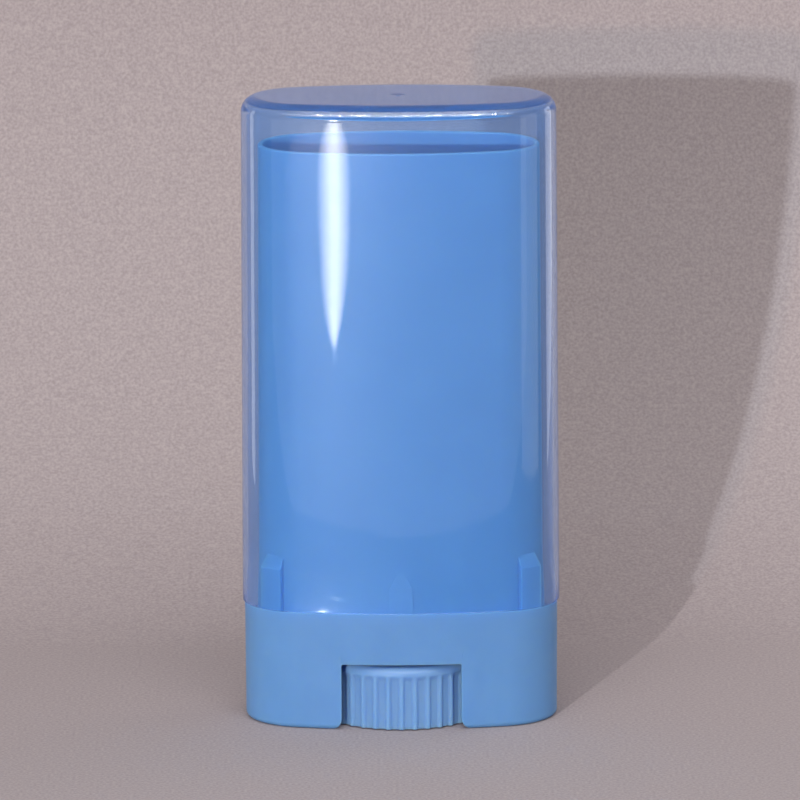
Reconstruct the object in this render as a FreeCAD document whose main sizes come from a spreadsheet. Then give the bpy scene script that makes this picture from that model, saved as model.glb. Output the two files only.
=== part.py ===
import FreeCAD, Part
import math
import os

import Sketcher

# Oval twist-up stick dispenser, empty, with its clear cap on.
# Millimetres, +Z up, origin at the centre of the base. The front, where the thumb
# turns the dial, looks along -Y and the long side of the oval lies along X.

# Driving dimensions: name, value, what it sets. Angles are in degrees.
SIZES = (
    # Whole object
    ("whole_tall", 123.1, "overall height, base to the top of the cap"),
    ("shoulder_level", 23.2, "height of the shoulder that the cap stands on"),
    ("end_relief", 2.07, "half the depth of any oval less the radius of its ends"),
    # Cap
    ("cap_wide", 62.0, "width of the cap at its mouth"),
    ("cap_deep", 30.3, "depth of the cap at its mouth"),
    ("cap_wall", 1.1, "wall of the cap"),
    ("cap_draft", 0.25, "lean of the cap's sides"),
    ("cap_top", 1.3, "thickness of the cap's top"),
    ("cap_edge_round", 3.0, "radius round the top of the cap"),
    ("cap_inner_round", 1.0, "radius round the inside of the cap's top"),
    ("cap_mouth_round", 0.3, "radius round the mouth of the cap"),
    ("gate_dish_radius", 1.4, "radius of the dish at the cap's moulding gate"),
    ("gate_dish_deep", 0.2, "depth of that dish"),
    ("gate_stub_radius", 0.45, "radius of the gate stub left in the dish"),
    ("gate_stub_tall", 0.15, "height of the gate stub above the dish"),
    # Tube
    ("head_room", 7.95, "gap from the tube's rim to the inside of the cap's top"),
    ("cap_face_gap", 0.5, "gap, cap to tube, at the front and back of the shoulder"),
    ("cap_end_gap", 2.1, "gap, cap to tube, at the ends of the shoulder"),
    ("tube_draft", 0.3, "lean of the tube's outside"),
    ("rim_wall", 1.0, "wall of the tube at its rim"),
    ("rim_round", 0.3, "radius on both edges of the rim"),
    ("floor_drop", 1.4, "height of the floor's underside above the notch"),
    ("floor_thick", 1.5, "thickness of the tube's floor"),
    # Lugs that centre the cap on the tube
    ("lug_fit", 0.12, "gap from a lug to the inside of the cap"),
    ("lug_wide", 4.6, "width of a lug"),
    ("lug_ramp_tall", 2.4, "height of the lead-in at the top of a lug"),
    ("face_lug_tall", 5.2, "height of the front and back lugs"),
    ("end_lug_tall", 10.6, "height of the lugs at the ends"),
    ("end_lug_ramp_deep", 1.4, "depth of the lead-in on the end lugs"),
    ("end_lug_turn", 52.0, "turn of the end lugs from the long axis"),
    # Skirt
    ("skirt_inset", 0.42, "step from the cap's outside in to the skirt"),
    ("skirt_wall", 1.7, "wall of the skirt"),
    ("skirt_draft", 0.25, "lean of the skirt's outside"),
    ("shoulder_thick", 1.5, "thickness of the shoulder"),
    ("foot_round", 1.1, "radius round the foot of the skirt"),
    ("notch_wide", 23.4, "width of the notches for the dial"),
    ("notch_level", 13.1, "height of the notches"),
    ("notch_round", 0.4, "radius in the top corners of the notches"),
    ("notch_foot_round", 2.2, "radius where the sides of the notches run out at the foot"),
    ("rib_thick", 1.0, "thickness of the ribs beside the dial"),
    ("rib_gap", 1.6, "gap from those ribs to the dial"),
    ("rib_rise", 2.5, "height of those ribs' lower edge above the base"),
    # Dial
    ("dial_proud", 0.67, "how far the dial stands out of the skirt's front"),
    ("dial_foot_gap", 0.25, "height of the dial above the base"),
    ("dial_top_gap", 0.6, "gap from the dial up to the top of the notch"),
    ("dial_edge_round", 1.6, "radius round the top of the dial"),
    ("dial_band_tall", 1.9, "height of the plain band above the ridges"),
    ("dial_wall", 1.5, "wall of the dial inside its grooves"),
    ("dial_roof", 1.6, "thickness of the dial's top"),
    ("ridge_count", 36, "number of ridges round the dial"),
    ("ridge_wide", 1.0, "width of a ridge"),
    ("ridge_tall", 0.5, "depth of the grooves between the ridges"),
    ("spoke_count", 6, "number of spokes under the dial"),
    ("spoke_thick", 1.0, "thickness of a spoke"),
    ("spoke_rise", 1.5, "height of the spokes' lower edge above the dial's foot"),
    # Journal that turns in the floor
    ("journal_step", 0.2, "how far the journal stands out past the thread"),
    ("journal_fit", 0.08, "gap from the journal to its hole"),
    ("thrust_gap", 0.15, "gap from the floor to the collar below and the bead above"),
    ("collar_step", 1.9, "how far the collar under the floor stands out past the journal"),
    ("bead_lip", 0.3, "how far the snap bead stands out over the hole's edge"),
    ("bead_tall", 1.3, "height of the snap bead"),
    # Screw
    ("thread_radius", 4.5, "outer radius of the screw's thread"),
    ("core_radius", 3.2, "radius of the screw's core"),
    ("core_bore_radius", 1.5, "radius of the blind bore up the core"),
    ("core_roof", 3.0, "solid length at the top of the core"),
    ("thread_pitch", 4.5, "rise of the thread in one turn"),
    ("thread_root", 2.0, "width of the thread at the core"),
    ("thread_crest", 0.9, "width of the thread at its crest"),
    ("thread_gap", 0.2, "gap between the screw and the platform's nut, all round"),
    ("screw_drop", 4.35, "depth of the screw's tip below the rim"),
    # Platform
    ("platform_gap", 0.25, "gap from the platform to the tube"),
    ("platform_rest_gap", 0.4, "gap from the lowered platform to the floor"),
    ("plate_thick", 1.4, "thickness of the platform's plate"),
    ("cup_tall", 7.0, "height of the platform's side wall"),
    ("cup_wall", 0.9, "thickness of that wall"),
    ("boss_wall", 2.0, "wall of the nut outside its thread"),
    ("boss_tall", 11.0, "height of the nut"),
    ("feed_hole_edge", 1.2, "gap from the feed holes to the platform's side wall"),
    ("feed_hole_radius", 1.5, "radius of a feed hole"),
    ("feed_hole_count", 6, "number of feed holes at each end"),
    ("anchor_thick", 1.0, "thickness of the ribs that anchor the stick"),
    ("anchor_tall", 4.0, "height of those ribs above the plate"),
)

# Sizes worked out from the driving ones, as expressions on the sheet
FLOOR_UNDER = "(Sizes.notch_level + Sizes.floor_drop)"
FLOOR_TOP = f"({FLOOR_UNDER} + Sizes.floor_thick)"
RIM_LEVEL = "(Sizes.whole_tall - Sizes.cap_top - Sizes.head_room)"
TUBE_TALL = f"({RIM_LEVEL} - Sizes.shoulder_level)"
TUBE_LEAN = f"({TUBE_TALL} * tan(Sizes.tube_draft * 1 deg))"
CAP_INSIDE_HALF_DEEP = "(Sizes.cap_deep / 2 - Sizes.cap_wall)"
DIAL_RADIUS = "(Sizes.cap_deep / 2 - Sizes.skirt_inset + Sizes.dial_proud)"
DIAL_TOP = "(Sizes.notch_level - Sizes.dial_top_gap)"
JOURNAL_RADIUS = "(Sizes.thread_radius + Sizes.journal_step)"
COLLAR_RADIUS = f"({JOURNAL_RADIUS} + Sizes.collar_step)"
HOLE_RADIUS = f"({JOURNAL_RADIUS} + Sizes.journal_fit)"
BEAD_RADIUS = f"({HOLE_RADIUS} + Sizes.bead_lip)"
BEAD_FOOT = f"({FLOOR_TOP} + Sizes.thrust_gap)"
BEAD_TOP = f"({BEAD_FOOT} + Sizes.bead_tall)"
THREAD_START = f"({BEAD_TOP} + Sizes.thread_root / 2)"
SCREW_TOP = f"({RIM_LEVEL} - Sizes.screw_drop)"
PLATE_UNDER = f"({FLOOR_TOP} + Sizes.platform_rest_gap)"
PLATE_TOP = f"({PLATE_UNDER} + Sizes.plate_thick)"
BOSS_RADIUS = "(Sizes.thread_radius + Sizes.thread_gap + Sizes.boss_wall)"
BOSS_TOP = f"({PLATE_UNDER} + Sizes.boss_tall)"
NUT_BORE_RADIUS = "(Sizes.core_radius + Sizes.thread_gap)"
FEED_MARGIN = "(Sizes.cup_wall + Sizes.feed_hole_edge + Sizes.feed_hole_radius)"

ORIGIN = FreeCAD.Vector(0, 0, 0)
UP = FreeCAD.Vector(0, 0, 1)
SKETCH_ORIGIN = -1  # geometry number of the sketch's origin and horizontal axis
SKETCH_UPRIGHT = -2  # geometry number of its vertical axis
START, END, CENTRE = 1, 2, 3  # points of a line or arc, as constraints number them
NEAR = 0.01  # mm within which two places count as the same

document = FreeCAD.newDocument("stick_dispenser")


class Oval:
    """An oval of two end arcs and two flatter face arcs, tangent where they meet."""

    def __init__(self, wide, deep):
        self.wide = wide
        self.deep = deep
        self.end_radius = f"({deep} / 2 - Sizes.end_relief)"
        self.end_centre = f"({wide} / 2 - {self.end_radius})"
        self.face_radius = (
            f"(({self.end_centre}^2 + ({deep} / 2)^2 - {self.end_radius}^2)"
            " / (2 * Sizes.end_relief))"
        )
        self.face_centre = f"({self.face_radius} - {deep} / 2)"

    def inset(self, gap):
        """The oval that lies inside this one by the same gap all round."""
        return Oval(f"({self.wide} - 2 * {gap})", f"({self.deep} - 2 * {gap})")


CAP_OUTSIDE = Oval("Sizes.cap_wide", "Sizes.cap_deep")
CAP_INSIDE = CAP_OUTSIDE.inset("Sizes.cap_wall")
SKIRT_OUTSIDE = CAP_OUTSIDE.inset("Sizes.skirt_inset")
SKIRT_INSIDE = SKIRT_OUTSIDE.inset("Sizes.skirt_wall")
TUBE_FOOT = Oval(
    f"({CAP_INSIDE.wide} - 2 * Sizes.cap_end_gap)",
    f"({CAP_INSIDE.deep} - 2 * Sizes.cap_face_gap)",
)
TUBE_BORE = TUBE_FOOT.inset(TUBE_LEAN).inset("Sizes.rim_wall")
PLATFORM_OUTSIDE = TUBE_BORE.inset("Sizes.platform_gap")


def make_sheet():
    """The spreadsheet of driving dimensions."""
    sheet = document.addObject("Spreadsheet::Sheet", "Sizes")
    for row, (alias, value, meaning) in enumerate(SIZES, start=1):
        sheet.set(f"A{row}", meaning)
        sheet.set(f"B{row}", str(value))
        sheet.setAlias(f"B{row}", alias)
    document.recompute()
    return sheet


def size(expression):
    """The number that an expression on the sheet gives now, in mm or degrees."""
    value = document.Sizes.evalExpression(expression)
    return float(getattr(value, "Value", value))


def new_body(node):
    """An empty body named after its node."""
    body = document.addObject("PartDesign::Body", node)
    body.Label = node
    return body


def origin_feature(body, role):
    """One of the body's own origin planes or axes."""
    return next(item for item in body.Origin.OriginFeatures if item.Role == role)


def new_sketch(body, name, plane="XY_Plane", offset=("0", "0", "0"), turn=None):
    """A sketch on one of the body's origin planes, shifted in the sketch's own axes.

    turn is an axis of the sketch and the positive angle to turn about it.
    """
    sketch = body.newObject("Sketcher::SketchObject", name)
    sketch.AttachmentSupport = [(origin_feature(body, plane), "")]
    sketch.MapMode = "FlatFace"
    if turn is not None:
        axis, angle = turn
        rotation = FreeCAD.Rotation(axis, size(angle))
        sketch.AttachmentOffset = FreeCAD.Placement(ORIGIN, rotation)
        sketch.setExpression("AttachmentOffset.Rotation.Angle", angle)
    for letter, shift in zip("xyz", offset):
        sketch.setExpression(f"AttachmentOffset.Base.{letter}", shift)
    document.recompute()
    return sketch


def constrain(sketch, kind, *where, drive=None):
    """Adds a constraint, with its value bound to an expression if one is given."""
    if drive is None:
        sketch.addConstraint(Sketcher.Constraint(kind, *where))
        return
    index = sketch.addConstraint(Sketcher.Constraint(kind, *where, size(drive)))
    sketch.setExpression(f"Constraints[{index}]", drive)


def draw_arc(sketch, centre, radius, first, last):
    """Adds an arc, from the first angle to the last in radians; returns its number."""
    circle = Part.Circle(FreeCAD.Vector(*centre, 0), UP, radius)
    return sketch.addGeometry(Part.ArcOfCircle(circle, first, last), False)


def draw_oval(sketch, oval):
    """Fills a sketch with an oval, held by its end radius and the arcs' centres."""
    end_x = size(oval.end_centre)
    face_y = size(oval.face_centre)
    corner = math.atan2(face_y, end_x)
    radius = size(oval.end_radius)
    face_radius = size(oval.face_radius)
    right = draw_arc(sketch, (end_x, 0), radius, -corner, corner)
    back = draw_arc(sketch, (0, -face_y), face_radius, corner, math.pi - corner)
    left = draw_arc(sketch, (-end_x, 0), radius, math.pi - corner, math.pi + corner)
    front = draw_arc(sketch, (0, face_y), face_radius, math.pi + corner, -corner)
    constrain(sketch, "Tangent", right, END, back, START)
    constrain(sketch, "Coincident", back, END, left, START)
    constrain(sketch, "Coincident", left, END, front, START)
    constrain(sketch, "Coincident", front, END, right, START)
    constrain(sketch, "Symmetric", right, END, left, START, SKETCH_UPRIGHT)
    constrain(sketch, "Symmetric", right, END, right, START, SKETCH_ORIGIN)
    constrain(sketch, "Symmetric", right, END, left, END, SKETCH_ORIGIN, START)
    constrain(sketch, "Equal", right, left)
    constrain(sketch, "Equal", back, front)
    constrain(sketch, "Radius", right, drive=oval.end_radius)
    constrain(sketch, "DistanceX", SKETCH_ORIGIN, START, right, CENTRE, drive=oval.end_centre)
    constrain(sketch, "DistanceY", back, CENTRE, SKETCH_ORIGIN, START, drive=oval.face_centre)


def draw_circle(sketch, radius, across="0"):
    """Fills a sketch with a circle whose centre lies on the horizontal axis."""
    centre = FreeCAD.Vector(size(across), 0, 0)
    circle = sketch.addGeometry(Part.Circle(centre, UP, size(radius)), False)
    constrain(sketch, "Radius", circle, drive=radius)
    if across == "0":
        constrain(sketch, "Coincident", circle, CENTRE, SKETCH_ORIGIN, START)
        return
    constrain(sketch, "PointOnObject", circle, CENTRE, SKETCH_ORIGIN)
    constrain(sketch, "DistanceX", SKETCH_ORIGIN, START, circle, CENTRE, drive=across)


def draw_outline(sketch, corners):
    """Fills a sketch with a closed run of lines, each corner placed by expressions."""
    points = [FreeCAD.Vector(size(across), size(up), 0) for across, up in corners]
    lines = [
        sketch.addGeometry(Part.LineSegment(point, points[(number + 1) % len(points)]), False)
        for number, point in enumerate(points)
    ]
    for number, line in enumerate(lines):
        constrain(sketch, "Coincident", line, END, lines[(number + 1) % len(lines)], START)
    for line, (across, up) in zip(lines, corners):
        constrain(sketch, "DistanceX", SKETCH_ORIGIN, START, line, START, drive=across)
        constrain(sketch, "DistanceY", SKETCH_ORIGIN, START, line, START, drive=up)


def draw_box(sketch, low, high):
    """Fills a sketch with an upright rectangle between two corners."""
    draw_outline(sketch, (low, (high[0], low[1]), high, (low[0], high[1])))


def add_feature(body, kind, name, profile, drives, **settings):
    """Adds a feature that uses a profile, with its sizes bound to expressions."""
    feature = body.newObject(f"PartDesign::{kind}", name)
    feature.Profile = profile
    for key, value in settings.items():
        setattr(feature, key, value)
    for key, expression in drives.items():
        feature.setExpression(key, expression)
    document.recompute()
    return feature


def cut_feature(body, kind, name, profile, drives, **settings):
    """Adds a feature that takes material away, and makes sure that it does."""
    before = body.Shape.Volume
    feature = add_feature(body, kind, name, profile, drives, **settings)
    if not feature.Shape.Volume < before:
        raise RuntimeError(f"{name} cuts nothing")
    return feature


def round_edges(body, name, base, radius, wanted):
    """Rounds the edges of a feature that a test picks out."""
    chosen = [f"Edge{n}" for n, edge in enumerate(base.Shape.Edges, start=1) if wanted(edge)]
    feature = body.newObject("PartDesign::Fillet", name)
    feature.Base = (base, chosen)
    feature.setExpression("Radius", radius)
    document.recompute()
    return feature


def level_edge(height):
    """A test for edges that lie flat at a height."""
    level = size(height)

    def test(edge):
        box = edge.BoundBox
        return abs(box.ZMin - level) < NEAR and abs(box.ZMax - level) < NEAR

    return test


def polar_pattern(body, name, original, count, axis):
    """Repeats a feature round an axis and makes the result the body's tip."""
    pattern = body.newObject("PartDesign::PolarPattern", name)
    pattern.Originals = [original]
    pattern.Axis = axis
    pattern.Angle = 360
    pattern.setExpression("Occurrences", count)
    body.Tip = pattern
    document.recompute()
    return pattern


def make_cap():
    """The clear cap: one drafted shell, closed and rounded at the top."""
    body = new_body("cap")
    outline = new_sketch(body, "cap_outline", offset=("0", "0", "Sizes.shoulder_level"))
    draw_oval(outline, CAP_OUTSIDE)
    drives = {
        "Length": "Sizes.whole_tall - Sizes.shoulder_level",
        "TaperAngle": "-Sizes.cap_draft",
    }
    block = add_feature(body, "Pad", "cap_block", outline, drives)
    top_edge = level_edge("Sizes.whole_tall")
    round_edges(body, "cap_crown", block, "Sizes.cap_edge_round", top_edge)
    inside = new_sketch(body, "cap_inside_outline", offset=("0", "0", "Sizes.shoulder_level"))
    draw_oval(inside, CAP_INSIDE)
    drives["Length"] = "Sizes.whole_tall - Sizes.cap_top - Sizes.shoulder_level"
    hollow = cut_feature(body, "Pocket", "cap_hollow", inside, drives, Reversed=True)
    inner_edge = level_edge("(Sizes.whole_tall - Sizes.cap_top)")
    crown = round_edges(body, "cap_inner_crown", hollow, "Sizes.cap_inner_round", inner_edge)
    mouth_edge = level_edge("Sizes.shoulder_level")
    round_edges(body, "cap_mouth", crown, "Sizes.cap_mouth_round", mouth_edge)
    cut_gate_mark(body)
    return body


def cut_gate_mark(body):
    """The shallow dish on the cap's top, round the stub that the gate left."""
    sketch = new_sketch(body, "gate_outline", plane="XZ_Plane", offset=("0", "Sizes.whole_tall", "0"))
    stub_top = "(Sizes.gate_stub_tall - Sizes.gate_dish_deep)"
    corners = (
        ("0", stub_top),
        ("Sizes.gate_stub_radius", stub_top),
        ("Sizes.gate_stub_radius", "-Sizes.gate_dish_deep"),
        ("Sizes.gate_dish_radius / 2", "-Sizes.gate_dish_deep"),
        ("Sizes.gate_dish_radius", "0"),
        ("0", "0"),
    )
    draw_outline(sketch, corners)
    axis = (sketch, ["V_Axis"])
    cut_feature(body, "Groove", "gate_dish", sketch, {}, ReferenceAxis=axis, Angle=360)


def make_barrel():
    """Tube, floor and skirt: one moulding."""
    body = new_body("barrel")
    add_skirt(body)
    cut_notches(body)
    hollow_skirt(body)
    add_tube(body)
    for side in (-1, 1):
        add_face_lug(body, side)
        for end in (-1, 1):
            add_end_lug(body, side, end)
    cut_tube_bore(body)
    add_dial_ribs(body)
    cut_journal_hole(body)
    return body


def add_skirt(body):
    """The skirt below the shoulder with its rounded foot, solid until it is hollowed."""
    outline = new_sketch(body, "skirt_outline", offset=("0", "0", "Sizes.shoulder_level"))
    draw_oval(outline, SKIRT_OUTSIDE)
    drives = {"Length": "Sizes.shoulder_level", "TaperAngle": "-Sizes.skirt_draft"}
    block = add_feature(body, "Pad", "skirt_block", outline, drives, Reversed=True)
    round_edges(body, "foot", block, "Sizes.foot_round", level_edge("0"))


def draw_notch(sketch):
    """Fills a sketch with the notches' outline, whose sides run out in curves at the foot."""
    half, foot = "Sizes.notch_wide / 2", "Sizes.notch_foot_round"
    out = f"({half} + {foot})"
    radius, reach = size(foot), size(out)
    right = draw_arc(sketch, (reach, radius), radius, math.pi, 1.5 * math.pi)
    left = draw_arc(sketch, (-reach, radius), radius, -0.5 * math.pi, 0)
    places = ((f"-{out}", "0"), (out, "0"), (half, foot), (half, "Sizes.notch_level"))
    places += ((f"-({half})", "Sizes.notch_level"), (f"-({half})", foot))
    points = [FreeCAD.Vector(size(across), size(up), 0) for across, up in places]
    base, rise, top, fall = (
        sketch.addGeometry(Part.LineSegment(points[first], points[last]), False)
        for first, last in ((0, 1), (2, 3), (3, 4), (4, 5))
    )
    for arc, across in ((right, out), (left, f"-{out}")):
        constrain(sketch, "Radius", arc, drive=foot)
        constrain(sketch, "DistanceX", SKETCH_ORIGIN, START, arc, CENTRE, drive=across)
        constrain(sketch, "DistanceY", SKETCH_ORIGIN, START, arc, CENTRE, drive=foot)
    joints = ((base, END, right, END), (right, START, rise, START), (rise, END, top, START))
    joints += ((top, END, fall, START), (fall, END, left, END), (left, START, base, START))
    for joint in joints:
        constrain(sketch, "Coincident", *joint)
    for line, point, across in ((base, END, out), (base, START, f"-{out}")):
        constrain(sketch, "DistanceX", SKETCH_ORIGIN, START, line, point, drive=across)
    for line, point in ((rise, START), (fall, END)):
        constrain(sketch, "DistanceY", SKETCH_ORIGIN, START, line, point, drive=foot)
    for line, across in ((top, half), (fall, f"-({half})")):
        constrain(sketch, "DistanceX", SKETCH_ORIGIN, START, line, START, drive=across)
        drive = "Sizes.notch_level"
        constrain(sketch, "DistanceY", SKETCH_ORIGIN, START, line, START, drive=drive)


def cut_notches(body):
    """The front and back notches that the dial shows through."""
    sketch = new_sketch(body, "notch_outline", plane="XZ_Plane")
    draw_notch(sketch)
    drives = {"Length": "Sizes.cap_deep"}
    notch = cut_feature(body, "Pocket", "notches", sketch, drives, SideType="Symmetric")
    half_wide = size("Sizes.notch_wide / 2")
    top = level_edge("Sizes.notch_level")

    def top_corner(edge):
        return top(edge) and abs(abs(edge.BoundBox.Center.x) - half_wide) < NEAR

    round_edges(body, "notch_corners", notch, "Sizes.notch_round", top_corner)


def hollow_skirt(body):
    """The space under the shoulder, which the dial turns in."""
    sketch = new_sketch(body, "skirt_hollow_outline")
    draw_oval(sketch, SKIRT_INSIDE)
    drives = {"Length": "Sizes.shoulder_level - Sizes.shoulder_thick"}
    cut_feature(body, "Pocket", "skirt_hollow", sketch, drives, Reversed=True)


def add_tube(body):
    """The tube, solid until its bore is cut, from the floor's underside to the rim."""
    outline = new_sketch(body, "tube_outline", offset=("0", "0", "Sizes.shoulder_level"))
    draw_oval(outline, TUBE_FOOT)
    drives = {"Length": TUBE_TALL, "TaperAngle": "-Sizes.tube_draft"}
    add_feature(body, "Pad", "tube_block", outline, drives)
    root = new_sketch(body, "tube_root_outline", offset=("0", "0", FLOOR_UNDER))
    draw_oval(root, TUBE_FOOT)
    drives = {"Length": f"Sizes.shoulder_level - {FLOOR_UNDER}"}
    add_feature(body, "Pad", "tube_root", root, drives)


def add_face_lug(body, side):
    """The low lug at the middle of the front or back, with its lead-in."""
    name = "front" if side < 0 else "back"
    reach = f"({CAP_INSIDE_HALF_DEEP} - Sizes.lug_fit)"
    top = "(Sizes.shoulder_level + Sizes.face_lug_tall)"
    corners = (
        ("0", "Sizes.shoulder_level"),
        (f"{side} * {reach}", "Sizes.shoulder_level"),
        (f"{side} * {reach}", f"{top} - Sizes.lug_ramp_tall"),
        (f"{side} * ({reach} - Sizes.cap_face_gap)", top),
        ("0", top),
    )
    sketch = new_sketch(body, f"{name}_lug_outline", plane="YZ_Plane")
    draw_outline(sketch, corners)
    drives = {"Length": "Sizes.lug_wide"}
    add_feature(body, "Pad", f"{name}_lug", sketch, drives, SideType="Symmetric")


def add_end_lug(body, side, end):
    """A taller lug near an end, turned about the axis of the cap's end arc."""
    name = ("front" if side < 0 else "back") + ("_left" if end < 0 else "_right")
    reach = f"({CAP_INSIDE.end_radius} - Sizes.lug_fit)"
    top = "(Sizes.shoulder_level + Sizes.end_lug_tall)"
    corners = (
        ("Sizes.core_radius", "Sizes.shoulder_level"),
        (reach, "Sizes.shoulder_level"),
        (reach, f"{top} - Sizes.lug_ramp_tall"),
        (f"{reach} - Sizes.end_lug_ramp_deep", top),
        ("Sizes.core_radius", top),
    )
    angle = "Sizes.end_lug_turn" if end > 0 else "180 - Sizes.end_lug_turn"
    turn = (FreeCAD.Vector(0, side, 0), angle)
    place = (f"{end} * {CAP_INSIDE.end_centre}", "0", "0")
    sketch = new_sketch(body, f"{name}_lug_outline", "XZ_Plane", place, turn)
    draw_outline(sketch, corners)
    drives = {"Angle": f"Sizes.lug_wide / {reach} * 180 / pi"}
    axis = (sketch, ["V_Axis"])
    add_feature(body, "Revolution", f"{name}_lug", sketch, drives, ReferenceAxis=axis, Midplane=True)


def cut_tube_bore(body):
    """The straight oval bore, and the rounded rim at its mouth."""
    sketch = new_sketch(body, "bore_outline", offset=("0", "0", FLOOR_TOP))
    draw_oval(sketch, TUBE_BORE)
    drives = {"Length": f"{RIM_LEVEL} - {FLOOR_TOP}"}
    bore = cut_feature(body, "Pocket", "tube_bore", sketch, drives, Reversed=True)
    round_edges(body, "rim", bore, "Sizes.rim_round", level_edge(RIM_LEVEL))


def add_dial_ribs(body):
    """The two ribs under the floor, one on each side of the dial."""
    near = f"({DIAL_RADIUS} + Sizes.rib_gap)"
    far = f"({near} + Sizes.rib_thick)"
    half_deep = f"({SKIRT_INSIDE.deep} / 2 - Sizes.end_relief)"
    for end in (-1, 1):
        name = "left" if end < 0 else "right"
        sketch = new_sketch(body, f"{name}_rib_outline", offset=("0", "0", "Sizes.rib_rise"))
        low, high = sorted((f"{end} * {near}", f"{end} * {far}"), key=size)
        draw_box(sketch, (low, f"-{half_deep}"), (high, half_deep))
        drives = {"Length": f"{FLOOR_UNDER} - Sizes.rib_rise"}
        add_feature(body, "Pad", f"{name}_rib", sketch, drives)


def cut_journal_hole(body):
    """The hole in the floor that the dial's journal turns in."""
    sketch = new_sketch(body, "journal_hole_outline", offset=("0", "0", FLOOR_UNDER))
    draw_circle(sketch, HOLE_RADIUS)
    drives = {"Length": "Sizes.floor_thick"}
    cut_feature(body, "Pocket", "journal_hole", sketch, drives, Reversed=True)


def make_screw_dial():
    """Ribbed dial, journal and lifting screw: one moulding, put in from below."""
    body = new_body("screw_dial")
    add_dial(body)
    add_screw(body)
    cut_ridges(body)
    add_spokes(body)
    cut_core_bore(body)
    return body


def add_dial(body):
    """The turned form of the dial, its collar, the journal, the snap bead and the core."""
    foot = "Sizes.dial_foot_gap"
    collar_top = f"({FLOOR_UNDER} - Sizes.thrust_gap)"
    roof = f"({DIAL_TOP} - Sizes.dial_roof)"
    inside = f"({DIAL_RADIUS} - Sizes.ridge_tall - Sizes.dial_wall)"
    corners = (
        ("0", foot),
        (JOURNAL_RADIUS, foot),
        (JOURNAL_RADIUS, roof),
        (inside, roof),
        (inside, foot),
        (DIAL_RADIUS, foot),
        (DIAL_RADIUS, DIAL_TOP),
        (COLLAR_RADIUS, DIAL_TOP),
        (COLLAR_RADIUS, collar_top),
        (JOURNAL_RADIUS, collar_top),
        (JOURNAL_RADIUS, BEAD_FOOT),
        (BEAD_RADIUS, BEAD_FOOT),
        (BEAD_RADIUS, f"{BEAD_FOOT} + Sizes.bead_lip"),
        ("Sizes.core_radius", BEAD_TOP),
        ("Sizes.core_radius", SCREW_TOP),
        ("0", SCREW_TOP),
    )
    sketch = new_sketch(body, "turned_outline", plane="XZ_Plane")
    draw_outline(sketch, corners)
    axis = (sketch, ["V_Axis"])
    form = add_feature(body, "Revolution", "turned_form", sketch, {}, ReferenceAxis=axis, Angle=360)
    outer = size(DIAL_RADIUS)
    top = level_edge(DIAL_TOP)

    def dial_edge(edge):
        return top(edge) and abs(edge.BoundBox.XMax - outer) < NEAR

    round_edges(body, "dial_edge", form, "Sizes.dial_edge_round", dial_edge)


def thread_corners(gap):
    """The thread's section at its lowest turn, grown by a gap for the nut."""
    root = f"(Sizes.thread_root / 2 + {gap})"
    crest = f"(Sizes.thread_crest / 2 + {gap})"
    inner = "(Sizes.core_radius - Sizes.thread_gap)"
    outer = f"(Sizes.thread_radius + {gap})"
    return ((inner, f"-{root}"), (outer, f"-{crest}"), (outer, crest), (inner, root))


def add_screw(body):
    """The coarse right-hand thread on the core."""
    sketch = new_sketch(body, "thread_outline", plane="XZ_Plane", offset=("0", THREAD_START, "0"))
    draw_outline(sketch, thread_corners("0"))
    drives = {
        "Pitch": "Sizes.thread_pitch",
        "Height": f"{SCREW_TOP} - {THREAD_START} - Sizes.thread_root",
    }
    axis = (sketch, ["V_Axis"])
    add_feature(body, "AdditiveHelix", "thread", sketch, drives, ReferenceAxis=axis, Mode=0)


def cut_ridges(body):
    """The grooves round the dial, which leave its ridges standing."""
    place = ("0", "0", "Sizes.dial_foot_gap")
    sketch = new_sketch(body, "groove_outline", offset=place, turn=(UP, "180 / Sizes.ridge_count"))
    half = f"(pi * {DIAL_RADIUS} / Sizes.ridge_count - Sizes.ridge_wide / 2)"
    near = f"({DIAL_RADIUS} - Sizes.ridge_tall)"
    far = f"({DIAL_RADIUS} + Sizes.ridge_tall)"
    draw_box(sketch, (near, f"-{half}"), (far, half))
    drives = {"Length": f"{DIAL_TOP} - Sizes.dial_band_tall - Sizes.dial_foot_gap"}
    groove = cut_feature(body, "Pocket", "groove", sketch, drives, Reversed=True)
    polar_pattern(body, "ridges", groove, "Sizes.ridge_count", (sketch, ["N_Axis"]))


def add_spokes(body):
    """The spokes under the dial, from the core to the dial's wall."""
    foot = "(Sizes.dial_foot_gap + Sizes.spoke_rise)"
    sketch = new_sketch(body, "spoke_outline", offset=("0", "0", foot))
    half = "Sizes.spoke_thick / 2"
    far = f"({DIAL_RADIUS} - Sizes.ridge_tall - Sizes.dial_wall / 2)"
    draw_box(sketch, ("Sizes.core_radius", f"-{half}"), (far, half))
    drives = {"Length": f"{DIAL_TOP} - Sizes.dial_roof / 2 - {foot}"}
    spoke = add_feature(body, "Pad", "spoke", sketch, drives)
    polar_pattern(body, "spokes", spoke, "Sizes.spoke_count", (sketch, ["N_Axis"]))


def cut_core_bore(body):
    """The blind bore up the core."""
    sketch = new_sketch(body, "core_bore_outline")
    draw_circle(sketch, "Sizes.core_bore_radius")
    drives = {"Length": f"{SCREW_TOP} - Sizes.core_roof"}
    cut_feature(body, "Pocket", "core_bore", sketch, drives, Reversed=True)


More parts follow.
